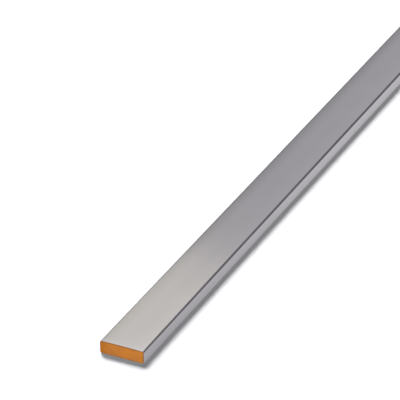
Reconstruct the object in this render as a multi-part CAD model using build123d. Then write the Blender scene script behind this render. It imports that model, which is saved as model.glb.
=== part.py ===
from build123d import *
import os

# A flat copper busbar, tinned all over and then sawn square to length, lying on one wide face.
# The bar is drawn through a die, which leaves a small radius on its four long corners.
# Both ends are sawn faces of bare copper, with their sharp outline lightly broken.
#
# Frame: +X along the bar, +Y across its width, +Z up through its thickness.
# Origin: the middle of the underside.

# Driving dimensions, in millimetres.
BAR_LENGTH = 1000.0
BAR_WIDTH = 10.0
BAR_THICKNESS = 3.0
CORNER_RADIUS = 0.4
CUT_BREAK = 0.1


def drawn_section():
    """The bar's rounded cross-section, standing on the floor line in the YZ plane."""
    thinner_side = min(BAR_WIDTH, BAR_THICKNESS)
    largest_radius = 0.45 * thinner_side
    radius = min(CORNER_RADIUS, largest_radius)
    outline = RectangleRounded(
        BAR_WIDTH,
        BAR_THICKNESS,
        radius,
        align=(Align.CENTER, Align.MIN),
    )
    return Plane.YZ * outline


def sawn_bar(section):
    """The section run out to the stock length, half of it each way from the origin."""
    return extrude(section, amount=BAR_LENGTH / 2, dir=(1, 0, 0), both=True)


def break_cut_outline(bar):
    """The narrow chamfer that a file leaves round each sawn face."""
    near_cut = bar.faces().sort_by(Axis.X)[0]
    far_cut = bar.faces().sort_by(Axis.X)[-1]
    outlines = near_cut.edges() + far_cut.edges()
    return chamfer(outlines, CUT_BREAK)


busbar = break_cut_outline(sawn_bar(drawn_section()))

os.makedirs("parts", exist_ok=True)
export_step(busbar, "parts/busbar.step")
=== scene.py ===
import math

import bpy
from mathutils import Matrix, Vector


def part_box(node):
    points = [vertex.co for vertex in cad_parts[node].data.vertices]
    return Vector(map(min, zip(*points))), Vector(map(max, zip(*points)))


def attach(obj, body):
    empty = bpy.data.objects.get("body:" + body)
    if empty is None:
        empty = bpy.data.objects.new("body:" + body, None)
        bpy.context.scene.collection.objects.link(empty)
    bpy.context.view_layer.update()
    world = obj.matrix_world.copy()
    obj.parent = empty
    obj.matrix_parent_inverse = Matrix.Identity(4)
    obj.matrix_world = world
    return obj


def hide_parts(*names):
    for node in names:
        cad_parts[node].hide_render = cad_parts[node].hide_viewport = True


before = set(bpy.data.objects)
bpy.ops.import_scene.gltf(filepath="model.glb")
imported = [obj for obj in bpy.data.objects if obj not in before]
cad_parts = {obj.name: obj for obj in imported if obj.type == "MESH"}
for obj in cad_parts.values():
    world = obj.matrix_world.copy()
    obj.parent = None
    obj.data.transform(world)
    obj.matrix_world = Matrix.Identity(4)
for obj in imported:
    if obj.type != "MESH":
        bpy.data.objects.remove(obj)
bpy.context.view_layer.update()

# A length of flat copper busbar, tinned all over and then sawn to length, on a white studio floor.
# Metres, in the CAD's frame: +X along the bar, +Y across it, +Z up, origin under its middle.

MM = 0.001

BAR_LOW, BAR_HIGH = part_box("busbar")
BAR_LENGTH = BAR_HIGH[0] - BAR_LOW[0]
BAR_WIDTH = BAR_HIGH[1] - BAR_LOW[1]
BAR_THICKNESS = BAR_HIGH[2] - BAR_LOW[2]

CORNER_RADIUS = 0.4 * MM
CUT_BREAK = 0.1 * MM

# The drawn faces aren't quite flat: they fall away by a few hundredths towards the long corners.
EDGE_FALL = 0.07 * MM
FALL_BAND = 3.4 * MM

# Filing the burr off rolls the faces over a little beside each cut.
CUT_FALL = 0.03 * MM
CUT_BAND = 2.0 * MM

# Both falls grow with this power of the way through their band.
FALL_POWER = 2.0

# Points that divide each side of the section, and places along the bar, which crowd towards the cuts.
SIDE_CUTS = 47
LENGTH_STATIONS = 61
STATION_CROWDING = 3.0

# An edge that turns more than this stays sharp, and a face that looks this much along the bar is a cut.
SHARP_ANGLE = math.radians(25)
CUT_FACING = 0.9


# Node helpers

def put(socket, value):
    """Links an output socket to an input socket, or writes a plain value into it."""
    if isinstance(value, bpy.types.NodeSocket):
        socket.id_data.links.new(value, socket)
    else:
        socket.default_value = value


def node(tree, kind, inputs=None, **settings):
    """Adds a node with its settings, and fills the inputs that are named."""
    made = tree.nodes.new(kind)
    for key, value in settings.items():
        setattr(made, key, value)
    for key, value in (inputs or {}).items():
        put(made.inputs[key], value)
    return made


def math_of(tree, operation, first, second=None, clamp=False):
    """The result of a Math node."""
    made = node(tree, "ShaderNodeMath", {0: first}, operation=operation, use_clamp=clamp)
    if second is not None:
        put(made.inputs[1], second)
    return made.outputs[0]


def vector_of(tree, operation, first, second=None):
    """The result of a Vector Math node that gives a vector."""
    made = node(tree, "ShaderNodeVectorMath", {0: first}, operation=operation)
    if second is not None:
        put(made.inputs[1], second)
    return made.outputs[0]


def scaled(tree, vector, factor):
    """A vector times a number."""
    made = node(tree, "ShaderNodeVectorMath", {0: vector, "Scale": factor}, operation="SCALE")
    return made.outputs[0]


def triple(tree, x, y, z):
    """A vector from three numbers."""
    return node(tree, "ShaderNodeCombineXYZ", {0: x, 1: y, 2: z}).outputs[0]


def parts_of(tree, vector):
    """The three numbers of a vector."""
    return node(tree, "ShaderNodeSeparateXYZ", {0: vector}).outputs


def ramp_of(tree, value, low, high):
    """0 at low, 1 at high, and a soft step between them. Low may be the larger of the two."""
    made = node(
        tree,
        "ShaderNodeMapRange",
        {"Value": value, "From Min": low, "From Max": high},
        interpolation_type="SMOOTHSTEP",
    )
    return made.outputs[0]


def blend_of(tree, factor, first, second):
    """A colour between two colours."""
    made = node(tree, "ShaderNodeMix", data_type="RGBA")
    put(made.inputs["Factor"], factor)
    colours = [s for s in made.inputs if s.type == "RGBA"]
    put(colours[0], first)
    put(colours[1], second)
    return next(s for s in made.outputs if s.type == "RGBA")


def tree_with(kind, name, inputs, outputs):
    """A node group with its named sockets, and its input and output nodes."""
    tree = bpy.data.node_groups.new(name, kind)
    for label, socket_type in inputs:
        tree.interface.new_socket(label, in_out="INPUT", socket_type=socket_type)
    for label, socket_type in outputs:
        tree.interface.new_socket(label, in_out="OUTPUT", socket_type=socket_type)
    return tree, node(tree, "NodeGroupInput").outputs, node(tree, "NodeGroupOutput").inputs


# Shared surface effects

LINE_OCTAVES = 3.0
PATCH_OCTAVES = 4.0

# The cloud values that are drawn fully dull and fully bright.
PATCH_SPAN = (0.3, 0.7)


def tool_lines_group():
    """Fine parallel lines that a die or a saw leaves, running along the vector's X."""
    tree, given, result = tree_with(
        "ShaderNodeTree",
        "tool lines",
        [
            ("Vector", "NodeSocketVector"),
            ("Lines per Metre", "NodeSocketFloat"),
            ("Run", "NodeSocketFloat"),
        ],
        [("Height", "NodeSocketFloat")],
    )
    along = math_of(tree, "DIVIDE", given["Lines per Metre"], given["Run"])
    stretch = triple(tree, along, given["Lines per Metre"], given["Lines per Metre"])
    place = vector_of(tree, "MULTIPLY", given["Vector"], stretch)
    lines = node(tree, "ShaderNodeTexNoise", {"Vector": place, "Scale": 1.0, "Detail": LINE_OCTAVES})
    put(result["Height"], lines.outputs[0])
    return tree


def cloudy_tone_group():
    """Soft patches, such as a thin plated or oxidised skin shows."""
    tree, given, result = tree_with(
        "ShaderNodeTree",
        "cloudy tone",
        [
            ("Vector", "NodeSocketVector"),
            ("Patches per Metre", "NodeSocketFloat"),
        ],
        [("Patches", "NodeSocketFloat")],
    )
    cloud = node(
        tree,
        "ShaderNodeTexNoise",
        {"Vector": given["Vector"], "Scale": given["Patches per Metre"], "Detail": PATCH_OCTAVES},
    )
    put(result["Patches"], ramp_of(tree, cloud.outputs[0], *PATCH_SPAN))
    return tree


TOOL_LINES = tool_lines_group()
CLOUDY_TONE = cloudy_tone_group()


def effect(tree, group, **inputs):
    """A shared effect placed in a material, with that material's values."""
    made = node(tree, "ShaderNodeGroup", node_tree=group)
    for key, value in inputs.items():
        put(made.inputs[key.replace("_", " ")], value)
    return made.outputs


# Materials

def new_material(name):
    """An empty material, its node tree, and the inputs of its Principled shader and its output."""
    material = bpy.data.materials.new(name)
    material.use_nodes = True
    tree = material.node_tree
    tree.nodes.clear()
    shader = node(tree, "ShaderNodeBsdfPrincipled")
    output = node(tree, "ShaderNodeOutputMaterial", {"Surface": shader.outputs[0]})
    return material, tree, shader, output


def section_place(tree):
    """Object coordinates, moved so that the middle of the bar's section is at zero."""
    coordinates = node(tree, "ShaderNodeTexCoord").outputs["Object"]
    mapping = node(tree, "ShaderNodeMapping", {"Vector": coordinates})
    mapping.inputs["Location"].default_value = (0.0, 0.0, -BAR_THICKNESS / 2)
    return mapping.outputs[0]


def depth_inside(tree, offset, size):
    """How far a place lies inside the nearer of two opposite faces."""
    return math_of(tree, "SUBTRACT", size / 2, math_of(tree, "ABSOLUTE", offset))


def varied(tree, mean, spread, height):
    """A roughness that goes up and down by half the spread with the tool lines."""
    step = math_of(tree, "MULTIPLY", height, spread)
    return math_of(tree, "ADD", step, mean - spread / 2)


def line_relief(tree, surface, height, strength, depth):
    """Lets the tool lines tilt the surface."""
    bump = node(
        tree,
        "ShaderNodeBump",
        {"Strength": strength, "Distance": depth, "Height": height},
    )
    put(surface["Normal"], bump.outputs[0])


TIN_LIGHT = (0.528, 0.512, 0.534, 1.0)
TIN_DULL = (0.512, 0.496, 0.518, 1.0)
TIN_SIDE_SHADE = (0.457, 0.442, 0.474, 1.0)
TIN_PATCHES_PER_METRE = 70.0

# The narrow sides' darker tone, which is painted shade, starts and is complete this far inside them.
SIDE_EDGE = (0.06 * MM, 0.01 * MM)

DRAW_LINES_PER_METRE = 5200.0
DRAW_LINE_RUN = 90.0
DRAW_LINE_STRENGTH = 0.5
DRAW_LINE_DEPTH = 0.004 * MM
TIN_ROUGHNESS = 0.13
TIN_ROUGHNESS_SPREAD = 0.06
SIDE_ROUGHER = 0.08


def satin_tin():
    """Drawn copper under a thin satin coat of tin, with faint lines along the bar and painted shade on the
    narrow sides.
    """
    material, tree, shader, _ = new_material("satin tin")
    surface = shader.inputs
    place = section_place(tree)
    lines = effect(
        tree,
        TOOL_LINES,
        Vector=place,
        Lines_per_Metre=DRAW_LINES_PER_METRE,
        Run=DRAW_LINE_RUN,
    )
    clouds = effect(tree, CLOUDY_TONE, Vector=place, Patches_per_Metre=TIN_PATCHES_PER_METRE)
    _, across, _ = parts_of(tree, place)
    side = ramp_of(tree, depth_inside(tree, across, BAR_WIDTH), *SIDE_EDGE)
    wide_face = blend_of(tree, clouds["Patches"], TIN_DULL, TIN_LIGHT)
    # The narrow sides take a darker copy of the tin, which is painted shade, and are a little rougher too.
    put(surface["Base Color"], blend_of(tree, side, wide_face, TIN_SIDE_SHADE))
    put(surface["Metallic"], 1.0)
    roughness = varied(tree, TIN_ROUGHNESS, TIN_ROUGHNESS_SPREAD, lines["Height"])
    rougher = math_of(tree, "MULTIPLY", side, SIDE_ROUGHER)
    put(surface["Roughness"], math_of(tree, "ADD", roughness, rougher))
    line_relief(tree, surface, lines["Height"], DRAW_LINE_STRENGTH, DRAW_LINE_DEPTH)
    return material


COPPER_FRESH = (0.866, 0.339, 0.046, 1.0)
COPPER_DULL = (0.708, 0.264, 0.065, 1.0)
COPPER_PATCHES_PER_METRE = 260.0
COPPER_SMEARED = (0.640, 0.225, 0.030, 1.0)
SMEAR_START = 2.2 * MM
SMEAR_END = 4.9 * MM
COPPER_RIM_SHADE = (0.200, 0.090, 0.028, 1.0)
RIM_SHADE_STRENGTH = 0.8
RIM_SHADE_REACH = 0.35 * MM
COPPER_BOUNCE = (0.52, 0.52, 0.54, 1.0)
SAW_LINES_PER_METRE = 3600.0
SAW_LINE_RUN = 12.0
SAW_LINE_STRENGTH = 0.4
SAW_LINE_DEPTH = 0.01 * MM
COPPER_ROUGHNESS = 0.55
COPPER_ROUGHNESS_SPREAD = 0.12


def sawn_copper():
    """Bare copper across a saw cut, with fine saw lines and a darker rim of painted shade along its edges.
    """
    material, tree, shader, _ = new_material("sawn copper")
    surface = shader.inputs
    place = section_place(tree)
    upright = node(tree, "ShaderNodeMapping", {"Vector": place})
    upright.inputs["Rotation"].default_value = (0.0, math.radians(90), 0.0)
    lines = effect(
        tree,
        TOOL_LINES,
        Vector=upright.outputs[0],
        Lines_per_Metre=SAW_LINES_PER_METRE,
        Run=SAW_LINE_RUN,
    )
    clouds = effect(tree, CLOUDY_TONE, Vector=place, Patches_per_Metre=COPPER_PATCHES_PER_METRE)
    face = blend_of(tree, clouds["Patches"], COPPER_DULL, COPPER_FRESH)

    # The saw comes out on the bar's left side and leaves the copper duller there.
    _, across, up = parts_of(tree, place)
    smear = ramp_of(tree, across, SMEAR_START, SMEAR_END)
    smeared = blend_of(tree, smear, face, COPPER_SMEARED)

    # The darker rim along the cut's edges is painted shade.
    inside = math_of(
        tree,
        "MINIMUM",
        depth_inside(tree, across, BAR_WIDTH),
        depth_inside(tree, up, BAR_THICKNESS),
    )
    from_rim = math_of(tree, "DIVIDE", inside, RIM_SHADE_REACH, clamp=True)
    rim = math_of(tree, "MULTIPLY", math_of(tree, "SUBTRACT", 1.0, from_rim), RIM_SHADE_STRENGTH)
    rim_shaded = blend_of(tree, rim, smeared, COPPER_RIM_SHADE)

    # The paper in front of the cut takes none of the copper's colour.
    ray = node(tree, "ShaderNodeLightPath").outputs
    put(surface["Base Color"], blend_of(tree, ray["Is Diffuse Ray"], rim_shaded, COPPER_BOUNCE))
    put(surface["Metallic"], 1.0)
    put(surface["Roughness"], varied(tree, COPPER_ROUGHNESS, COPPER_ROUGHNESS_SPREAD, lines["Height"]))
    line_relief(tree, surface, lines["Height"], SAW_LINE_STRENGTH, SAW_LINE_DEPTH)
    return material


# The bar's shape

def point_place(tree):
    """The position of each point."""
    return node(tree, "GeometryNodeInputPosition").outputs[0]


def moved(tree, geometry, position, selection=None):
    """Geometry with its points at a new position."""
    made = node(tree, "GeometryNodeSetPosition", {"Geometry": geometry, "Position": position})
    if selection is not None:
        put(made.inputs["Selection"], selection)
    return made.outputs[0]


def crowded(tree, value, half):
    """Moves evenly spaced points towards the ends of a side, where the corners need them."""
    turn = math_of(tree, "MULTIPLY", math_of(tree, "DIVIDE", value, half), math.pi / 2)
    return math_of(tree, "MULTIPLY", math_of(tree, "SINE", turn), half)


def held(tree, value, limit):
    """A number kept between minus and plus the limit."""
    low = math_of(tree, "MULTIPLY", limit, -1.0)
    return node(tree, "ShaderNodeClamp", {"Value": value, "Min": low, "Max": limit}).outputs[0]


def fall_beside(tree, value, half, band, depth):
    """How far a face has fallen: nothing up to the band beside an edge, and the depth at the edge."""
    start = math_of(tree, "SUBTRACT", half, band)
    past = math_of(tree, "SUBTRACT", math_of(tree, "ABSOLUTE", value), start)
    share = math_of(tree, "DIVIDE", past, band, clamp=True)
    return math_of(tree, "MULTIPLY", math_of(tree, "POWER", share, FALL_POWER), depth)


def drawn_in(tree, value, fall, half):
    """A coordinate scaled so that a face at half the size moves in by the fall."""
    factor = math_of(tree, "SUBTRACT", 1.0, math_of(tree, "DIVIDE", fall, half))
    return math_of(tree, "MULTIPLY", value, factor)


def away_from(tree, place, centre):
    """The direction from a centre to a place, with length 1."""
    return vector_of(tree, "NORMALIZE", vector_of(tree, "SUBTRACT", place, centre))


def section_curve(tree, given, half, core):
    """The rounded section as a closed curve in the XY plane, with its width along X."""
    outline = node(
        tree,
        "GeometryNodeCurvePrimitiveQuadrilateral",
        {"Width": given["Width"], "Height": given["Thickness"]},
    )
    divided = node(
        tree,
        "GeometryNodeSubdivideCurve",
        {"Curve": outline.outputs[0], "Cuts": given["Side Cuts"]},
    )
    x, y, _ = parts_of(tree, point_place(tree))
    spaced = moved(
        tree,
        divided.outputs[0],
        triple(tree, crowded(tree, x, half["width"]), crowded(tree, y, half["thickness"]), 0.0),
    )

    place = point_place(tree)
    x, y, _ = parts_of(tree, place)
    centre = triple(tree, held(tree, x, core["width"]), held(tree, y, core["thickness"]), 0.0)
    reach = scaled(tree, away_from(tree, place, centre), given["Corner Radius"])
    rounded = moved(tree, spaced, vector_of(tree, "ADD", centre, reach))

    x, y, _ = parts_of(tree, point_place(tree))
    fall = fall_beside(tree, x, half["width"], given["Fall Band"], given["Edge Fall"])
    return moved(tree, rounded, triple(tree, x, drawn_in(tree, y, fall, half["thickness"]), 0.0))


def length_line(tree, given, half):
    """The line that the section runs along. It stops short of each cut by the break."""
    reach = math_of(tree, "SUBTRACT", half["length"], given["Cut Break"])
    back = math_of(tree, "MULTIPLY", reach, -1.0)
    line = node(
        tree,
        "GeometryNodeCurvePrimitiveLine",
        {
            "Start": triple(tree, back, 0.0, half["thickness"]),
            "End": triple(tree, reach, 0.0, half["thickness"]),
        },
    )
    stations = node(
        tree,
        "GeometryNodeResampleCurve",
        {"Curve": line.outputs[0], "Count": given["Length Stations"]},
    )
    x, _, _ = parts_of(tree, point_place(tree))
    from_middle = math_of(tree, "DIVIDE", math_of(tree, "ABSOLUTE", x), reach)
    from_cut = math_of(tree, "SUBTRACT", 1.0, from_middle, clamp=True)
    share = math_of(tree, "SUBTRACT", 1.0, math_of(tree, "POWER", from_cut, STATION_CROWDING))
    crowded_x = math_of(tree, "MULTIPLY", math_of(tree, "MULTIPLY", share, reach), math_of(tree, "SIGN", x))
    placed = moved(tree, stations.outputs[0], triple(tree, crowded_x, 0.0, half["thickness"]))
    return node(tree, "GeometryNodeSetCurveNormal", {"Curve": placed}, mode="Z_UP").outputs[0]


def rolled_over(tree, given, geometry, half):
    """The bar with its faces drawn in a little beside each cut."""
    x, y, z = parts_of(tree, point_place(tree))
    drop = fall_beside(tree, x, half["length"], given["Cut Band"], given["Cut Fall"])
    up = math_of(tree, "SUBTRACT", z, half["thickness"])
    lower = drawn_in(tree, up, drop, half["thickness"])
    place = triple(
        tree,
        x,
        drawn_in(tree, y, drop, half["width"]),
        math_of(tree, "ADD", lower, half["thickness"]),
    )
    return moved(tree, geometry, place)


def broken_cuts(tree, given, geometry, half, core):
    """The bar with each end face moved out and shrunk by the break, and which of its faces are sawn."""
    facing, _, _ = parts_of(tree, node(tree, "GeometryNodeInputNormal").outputs[0])
    is_end = math_of(tree, "GREATER_THAN", math_of(tree, "ABSOLUTE", facing), CUT_FACING)
    cut = node(
        tree,
        "GeometryNodeExtrudeMesh",
        {
            "Mesh": geometry,
            "Selection": is_end,
            "Offset Scale": given["Cut Break"],
            "Individual": False,
        },
        mode="FACES",
    )
    place = point_place(tree)
    _, y, z = parts_of(tree, place)
    up = math_of(tree, "SUBTRACT", z, half["thickness"])
    centre = triple(tree, 0.0, held(tree, y, core["width"]), held(tree, up, core["thickness"]))
    outwards = away_from(tree, triple(tree, 0.0, y, up), centre)
    inset = vector_of(tree, "SUBTRACT", place, scaled(tree, outwards, given["Cut Break"]))
    broken = moved(tree, cut.outputs["Mesh"], inset, cut.outputs["Top"])
    return broken, math_of(tree, "ADD", cut.outputs["Top"], cut.outputs["Side"])


def shaded(tree, geometry):
    """Smooth faces that meet sharply where the edge between them turns a lot."""
    smooth = node(
        tree,
        "GeometryNodeSetShadeSmooth",
        {"Geometry": geometry, "Shade Smooth": True},
        domain="FACE",
    )
    angle = node(tree, "GeometryNodeInputMeshEdgeAngle").outputs["Unsigned Angle"]
    creased = node(
        tree,
        "GeometryNodeSetShadeSmooth",
        {
            "Geometry": smooth.outputs[0],
            "Selection": math_of(tree, "GREATER_THAN", angle, SHARP_ANGLE),
            "Shade Smooth": False,
        },
        domain="EDGE",
    )
    return creased.outputs[0]


def drawn_bar_tree():
    """A rounded rectangular section run along X, with both cuts' outlines broken."""
    tree, given, result = tree_with(
        "GeometryNodeTree",
        "drawn bar",
        [
            ("Length", "NodeSocketFloat"),
            ("Width", "NodeSocketFloat"),
            ("Thickness", "NodeSocketFloat"),
            ("Corner Radius", "NodeSocketFloat"),
            ("Edge Fall", "NodeSocketFloat"),
            ("Fall Band", "NodeSocketFloat"),
            ("Cut Break", "NodeSocketFloat"),
            ("Cut Fall", "NodeSocketFloat"),
            ("Cut Band", "NodeSocketFloat"),
            ("Side Cuts", "NodeSocketInt"),
            ("Length Stations", "NodeSocketInt"),
            ("Drawn Surface", "NodeSocketMaterial"),
            ("Sawn Surface", "NodeSocketMaterial"),
        ],
        [("Geometry", "NodeSocketGeometry")],
    )
    half = {}
    for name in ("Length", "Width", "Thickness"):
        half[name.lower()] = math_of(tree, "DIVIDE", given[name], 2.0)
    core = {}
    for name in ("width", "thickness"):
        core[name] = math_of(tree, "SUBTRACT", half[name], given["Corner Radius"])
    drawn = node(
        tree,
        "GeometryNodeCurveToMesh",
        {
            "Curve": length_line(tree, given, half),
            "Profile Curve": section_curve(tree, given, half, core),
            "Fill Caps": True,
        },
    )
    rolled = rolled_over(tree, given, drawn.outputs[0], half)
    broken, is_sawn = broken_cuts(tree, given, rolled, half, core)
    real = node(tree, "GeometryNodeRealizeInstances", {"Geometry": shaded(tree, broken)})
    tinned = node(
        tree,
        "GeometryNodeSetMaterial",
        {"Geometry": real.outputs[0], "Material": given["Drawn Surface"]},
    )
    finished = node(
        tree,
        "GeometryNodeSetMaterial",
        {"Geometry": tinned.outputs[0], "Selection": is_sawn, "Material": given["Sawn Surface"]},
    )
    put(result["Geometry"], finished.outputs[0])
    return tree


def made_by(tree, name, values):
    """A plain mesh object from a Geometry Nodes tree and the values of its named inputs."""
    maker = bpy.data.objects.new(name + "_maker", bpy.data.meshes.new(name + "_maker"))
    bpy.context.collection.objects.link(maker)
    modifier = maker.modifiers.new("shape", "NODES")
    modifier.node_group = tree
    for item in tree.interface.items_tree:
        if item.name in values:
            modifier[item.identifier] = values[item.name]
    graph = bpy.context.evaluated_depsgraph_get()
    mesh = bpy.data.meshes.new_from_object(maker.evaluated_get(graph), depsgraph=graph)
    bpy.data.objects.remove(maker)
    mesh.name = name
    piece = bpy.data.objects.new(name, mesh)
    bpy.context.collection.objects.link(piece)
    return piece


# The bar's own map for baked finishes, because an automatic one gives so long a bar too few pixels across.
# The drawn faces fill a strip at the bottom of its unit square, and the cuts at -X and +X start above it.
STRIP_START = (0.01, 0.02)
STRIP_SIZE = (0.98, 0.76)
CUT_STARTS = {-1: (0.02, 0.82), 1: (0.53, 0.82)}
CUT_SCALE = 0.45 / BAR_WIDTH
SAWN_SLOT = 1


def place_round_section(across, up, left_half):
    """How far round the section a point is, as a share, from the middle of the underside and back to it."""
    half_width = BAR_WIDTH / 2
    half_thickness = BAR_THICKNESS / 2
    beside = half_width - abs(across) < half_thickness - abs(up)
    if beside:
        from_underside = half_width + half_thickness + up
    elif up < 0:
        from_underside = abs(across)
    else:
        from_underside = BAR_WIDTH + BAR_THICKNESS - abs(across)
    share = from_underside / (2 * (BAR_WIDTH + BAR_THICKNESS))
    return 1 - share if left_half else share


def lay_out_for_bake(mesh):
    """Lays the drawn faces out as one strip along the bar, and the two cuts side by side above it."""
    layout = mesh.uv_layers.new(name="OFBake").data
    for face in mesh.polygons:
        is_cut = face.material_index == SAWN_SLOT
        end = 1 if face.center.x > 0 else -1
        for corner in face.loop_indices:
            x, y, z = mesh.vertices[mesh.loops[corner].vertex_index].co
            if is_cut:
                left, low = CUT_STARTS[end]
                rightwards = y * end + BAR_WIDTH / 2
                layout[corner].uv = (left + rightwards * CUT_SCALE, low + z * CUT_SCALE)
            else:
                along = (x - BAR_LOW[0]) / BAR_LENGTH
                around = place_round_section(y, z - BAR_THICKNESS / 2, face.center.y > 0)
                layout[corner].uv = (
                    STRIP_START[0] + along * STRIP_SIZE[0],
                    STRIP_START[1] + around * STRIP_SIZE[1],
                )


bar = made_by(
    drawn_bar_tree(),
    "tinned_bar",
    {
        "Length": BAR_LENGTH,
        "Width": BAR_WIDTH,
        "Thickness": BAR_THICKNESS,
        "Corner Radius": CORNER_RADIUS,
        "Edge Fall": EDGE_FALL,
        "Fall Band": FALL_BAND,
        "Cut Break": CUT_BREAK,
        "Cut Fall": CUT_FALL,
        "Cut Band": CUT_BAND,
        "Side Cuts": SIDE_CUTS,
        "Length Stations": LENGTH_STATIONS,
        "Drawn Surface": satin_tin(),
        "Sawn Surface": sawn_copper(),
    },
)
lay_out_for_bake(bar.data)
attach(bar, "root")
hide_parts("busbar")


# Camera, fitted to the edges of the bar in the photograph

FRAME_PIXELS = 400
FOCAL_PIXELS = 2888.5
CAMERA_PITCH = math.radians(29.65)
CAMERA_HEADING = math.radians(25.71)
NEAR_END_DEPTH = 0.5860
NEAR_END_PIXEL = (121.70, 358.64)
SENSOR_MM = 36.0


def photo_camera():
    """A camera that puts the middle of the near end's lower edge on its pixel of the photograph."""
    level = Vector((math.cos(CAMERA_HEADING), math.sin(CAMERA_HEADING), 0.0))
    upright = Vector((0.0, 0.0, 1.0))
    forward = level * math.cos(CAMERA_PITCH) - upright * math.sin(CAMERA_PITCH)
    right = Vector((math.sin(CAMERA_HEADING), -math.cos(CAMERA_HEADING), 0.0))
    above = right.cross(forward)
    middle = FRAME_PIXELS / 2
    aside = (NEAR_END_PIXEL[0] - middle) / FOCAL_PIXELS
    below = (NEAR_END_PIXEL[1] - middle) / FOCAL_PIXELS
    near_end = Vector((BAR_LOW[0], 0.0, 0.0))
    place = near_end - NEAR_END_DEPTH * (right * aside - above * below + forward)
    data = bpy.data.cameras.new("photo_camera")
    data.sensor_fit = "HORIZONTAL"
    data.sensor_width = SENSOR_MM
    data.lens = FOCAL_PIXELS / FRAME_PIXELS * SENSOR_MM
    camera = bpy.data.objects.new("photo_camera", data)
    turn = Matrix((right, above, -forward)).transposed()
    camera.matrix_world = Matrix.Translation(place) @ turn.to_4x4()
    bpy.context.collection.objects.link(camera)
    bpy.context.scene.camera = camera


# Floor

WHITE = (1.0, 1.0, 1.0, 1.0)
FLOOR_HALF_SIZE = 20.0
FLOOR_COLOUR = (0.893, 0.898, 0.915, 1.0)
WHITE_IN_VIEW = 0.095
WHITE_IN_METAL = 0.85

# In metal the floor is pale grey, painted paler along the bar and with painted shade beside it, as the
# narrow side shows it.
METAL_TONE_FRONT = 0.79
METAL_TONE_BACK = 0.95
METAL_TONE_DIM = 0.7
TONE_FROM_END = (0.0, 110.0 * MM)
DIM_FROM_END = (0.0, 4.0 * MM)
DIM_FROM_SIDE = (2.0 * MM, 8.0 * MM)


def tone_in_metal(tree):
    """How bright the floor is where metal mirrors it."""
    along, across, _ = parts_of(tree, node(tree, "ShaderNodeTexCoord").outputs["Object"])
    from_end = math_of(tree, "SUBTRACT", along, BAR_LOW[0])
    from_side = math_of(tree, "SUBTRACT", -BAR_WIDTH / 2, across)
    paler = math_of(
        tree,
        "MULTIPLY",
        ramp_of(tree, from_end, *TONE_FROM_END),
        METAL_TONE_BACK - METAL_TONE_FRONT,
    )
    beside = math_of(
        tree,
        "MULTIPLY",
        ramp_of(tree, from_side, *DIM_FROM_SIDE),
        ramp_of(tree, from_end, *DIM_FROM_END),
    )
    dimmer = math_of(tree, "MULTIPLY", beside, METAL_TONE_DIM)
    return math_of(tree, "SUBTRACT", math_of(tree, "ADD", paler, METAL_TONE_FRONT), dimmer)


def white_floor():
    """White paper that keeps the bar's shadow and shows white in view and in metal."""
    material, tree, shader, output = new_material("white floor")
    put(shader.inputs["Base Color"], FLOOR_COLOUR)
    put(shader.inputs["Roughness"], 1.0)
    put(shader.inputs["Specular IOR Level"], 0.0)
    ray = node(tree, "ShaderNodeLightPath").outputs
    mirrored = math_of(tree, "MAXIMUM", ray["Is Glossy Ray"], ray["Is Transmission Ray"])
    darker = math_of(tree, "SUBTRACT", 1.0, tone_in_metal(tree))
    strength = math_of(tree, "SUBTRACT", 1.0, math_of(tree, "MULTIPLY", mirrored, darker))
    white = node(tree, "ShaderNodeEmission", {"Color": WHITE, "Strength": strength})
    in_view = math_of(tree, "MULTIPLY", ray["Is Camera Ray"], WHITE_IN_VIEW)
    share = math_of(tree, "ADD", in_view, math_of(tree, "MULTIPLY", mirrored, WHITE_IN_METAL))
    mixed = node(tree, "ShaderNodeMixShader", {0: share, 1: shader.outputs[0], 2: white.outputs[0]})
    put(output.inputs["Surface"], mixed.outputs[0])
    return material


def studio_floor():
    """The wide level floor that the bar lies on."""
    far = FLOOR_HALF_SIZE
    corners = [(-far, -far, 0.0), (far, -far, 0.0), (far, far, 0.0), (-far, far, 0.0)]
    mesh = bpy.data.meshes.new("floor")
    mesh.from_pydata(corners, [], [(0, 1, 2, 3)])
    mesh.materials.append(white_floor())
    floor = bpy.data.objects.new("floor", mesh)
    bpy.context.collection.objects.link(floor)


# Lamps

KEY_AZIMUTH = math.radians(43.0)
KEY_ELEVATION = math.radians(51.6)
KEY_SPREAD = math.radians(27.0)
KEY_STRENGTH = 4.50


def key_lamp():
    """The wide, even lamp that lights the floor and throws the bar's shadow to the right and the front."""
    data = bpy.data.lights.new("key", "SUN")
    data.angle = KEY_SPREAD
    data.energy = KEY_STRENGTH
    lamp = bpy.data.objects.new("key", data)
    level = math.cos(KEY_ELEVATION)
    away = Vector((math.cos(KEY_AZIMUTH) * level, math.sin(KEY_AZIMUTH) * level, math.sin(KEY_ELEVATION)))
    lamp.rotation_euler = away.to_track_quat("Z", "Y").to_euler()
    lamp.visible_glossy = False
    bpy.context.collection.objects.link(lamp)


# Above the top face. Its far edge passes over a place given from the bar's near end, along and across,
# and it reaches from there to the right and to the left.
GLOW_HEIGHT = 0.33
GLOW_EDGE = (0.5387, 0.2394)
GLOW_TURN = math.radians(57.0)
GLOW_RIGHT = -0.194
GLOW_LEFT = 0.174
GLOW_DEPTH = 0.32
GLOW_STRENGTH = 0.385
GLOW_COLOUR = (1.0, 0.965, 0.71)


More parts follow.
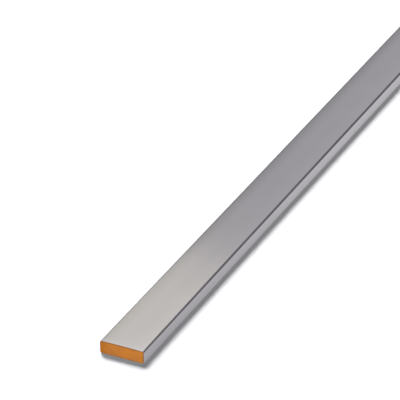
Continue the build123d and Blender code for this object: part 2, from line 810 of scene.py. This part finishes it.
def near_glow():
    """A low overhead softbox whose far edge is mirrored across the bar a little behind its near end."""
    along = Vector((math.cos(GLOW_TURN), math.sin(GLOW_TURN), 0.0))
    back = Vector((-math.sin(GLOW_TURN), math.cos(GLOW_TURN), 0.0))
    edge = Vector((BAR_LOW[0] + GLOW_EDGE[0], GLOW_EDGE[1], BAR_THICKNESS + GLOW_HEIGHT))
    middle = edge + along * (GLOW_LEFT + GLOW_RIGHT) / 2 + back * GLOW_DEPTH / 2
    data = bpy.data.lights.new("near glow", "AREA")
    data.shape = "RECTANGLE"
    data.size = GLOW_LEFT - GLOW_RIGHT
    data.size_y = GLOW_DEPTH
    data.energy = GLOW_STRENGTH * math.pi * data.size * data.size_y
    data.color = GLOW_COLOUR
    lamp = bpy.data.objects.new("near glow", data)
    lamp.location = middle
    lamp.rotation_euler = (0.0, 0.0, GLOW_TURN)
    lamp.visible_camera = False
    lamp.visible_diffuse = False
    bpy.context.collection.objects.link(lamp)


# Room

# Its tones are given at degrees above the floor, and the floor itself takes only this share of them.
ROOM_TONES = [
    (0.0, (0.42, 0.42, 0.43)),
    (18.0, (0.52, 0.515, 0.535)),
    (25.0, (0.622, 0.615, 0.640)),
    (34.6, (0.632, 0.625, 0.649)),
    (36.4, (0.750, 0.744, 0.767)),
    (38.0, (0.790, 0.785, 0.805)),
    (41.0, (1.000, 0.995, 1.000)),
    (75.0, (0.870, 0.865, 0.880)),
]
ROOM_ON_FLOOR = (0.099, 0.100, 0.108, 1.0)

# The room stands tilted and turned by this much about X, Y and Z.
ROOM_TURN = (math.radians(0.46), math.radians(-0.95), math.radians(0.66))

# The flags' edges are places on a ceiling one unit above the floor, onwards and to the left. Directions
# below the lowest rise are taken as if they were that steep.
LOWEST_RISE = 0.01
FLAG_START = (0.80, 1.00)
RIGHT_FLAG_COLOUR = (0.206, 0.196, 0.208, 1.0)
RIGHT_FLAG_EDGE = (0.42, 0.28)
RIGHT_FLAG_PIVOT = 1.185
RIGHT_FLAG_LEAN = 5.0
RIGHT_FLAG_HOLD = -0.08
LEFT_FLAG_COLOUR = (0.165, 0.185, 0.172, 1.0)
LEFT_FLAG_EDGE = (0.690, 1.050)
LEFT_FLAG_END = (1.3, 1.8)
LEFT_FLAG_SLANT = 0.85
LEFT_FLAG_THINNING = (0.76, 0.87)
LEFT_FLAG_THIN = 0.60


def room_tone(tree, height):
    """The room's tone in a direction whose upward part is the height."""
    rise = math_of(tree, "DIVIDE", math_of(tree, "ARCSINE", height), math.pi / 2)
    tones = node(tree, "ShaderNodeValToRGB", {0: rise})
    stops = tones.color_ramp.elements
    for stop, (degrees, tone) in zip(list(stops), ROOM_TONES[:1] + ROOM_TONES[-1:]):
        stop.position = degrees / 90
        stop.color = (*tone, 1.0)
    for degrees, tone in ROOM_TONES[1:-1]:
        stops.new(degrees / 90).color = (*tone, 1.0)
    return tones.outputs[0]


def right_flag(tree, onwards, leftwards):
    """How much the flag on the right covers, which leans back near the bar's end."""
    nearer = math_of(tree, "SUBTRACT", RIGHT_FLAG_PIVOT, onwards)
    lean = math_of(tree, "MULTIPLY", nearer, RIGHT_FLAG_LEAN)
    leaned = math_of(tree, "ADD", leftwards, math_of(tree, "MAXIMUM", lean, RIGHT_FLAG_HOLD))
    return ramp_of(tree, leaned, *RIGHT_FLAG_EDGE)


def left_flag(tree, onwards, leftwards):
    """How much the flag on the left covers, which is thinner near the bar's end."""
    covered = ramp_of(tree, leftwards, *LEFT_FLAG_EDGE)
    short_of_end = math_of(tree, "SUBTRACT", 1.0, ramp_of(tree, leftwards, *LEFT_FLAG_END))
    beyond = math_of(tree, "SUBTRACT", onwards, math_of(tree, "MULTIPLY", leftwards, LEFT_FLAG_SLANT))
    added = math_of(tree, "MULTIPLY", ramp_of(tree, beyond, *LEFT_FLAG_THINNING), 1.0 - LEFT_FLAG_THIN)
    thickness = math_of(tree, "ADD", added, LEFT_FLAG_THIN)
    return math_of(tree, "MULTIPLY", math_of(tree, "MULTIPLY", covered, short_of_end), thickness)


def studio_room():
    """A grey room, paler overhead, with a dark flag on each side of the way that the bar points."""
    world = bpy.data.worlds.new("studio room")
    bpy.context.scene.world = world
    world.use_nodes = True
    tree = world.node_tree
    tree.nodes.clear()
    direction = node(tree, "ShaderNodeTexCoord").outputs["Generated"]
    turned = node(tree, "ShaderNodeMapping", {"Vector": direction})
    turned.inputs["Rotation"].default_value = ROOM_TURN
    east, north, height = parts_of(tree, turned.outputs[0])
    above_floor = math_of(tree, "MAXIMUM", height, LOWEST_RISE)
    onwards = math_of(tree, "DIVIDE", east, above_floor)
    leftwards = math_of(tree, "DIVIDE", north, above_floor)
    started = ramp_of(tree, onwards, *FLAG_START)
    tone = room_tone(tree, height)
    for flag, colour in ((left_flag, LEFT_FLAG_COLOUR), (right_flag, RIGHT_FLAG_COLOUR)):
        share = math_of(tree, "MULTIPLY", flag(tree, onwards, leftwards), started)
        tone = blend_of(tree, share, tone, colour)
    ray = node(tree, "ShaderNodeLightPath").outputs
    level = blend_of(tree, ray["Is Diffuse Ray"], WHITE, ROOM_ON_FLOOR)
    back = node(tree, "ShaderNodeBackground", {"Color": vector_of(tree, "MULTIPLY", tone, level)})
    node(tree, "ShaderNodeOutputWorld", {"Surface": back.outputs[0]})


photo_camera()
studio_floor()
studio_room()
key_lamp()
near_glow()

bpy.context.scene.view_settings.view_transform = "Standard"
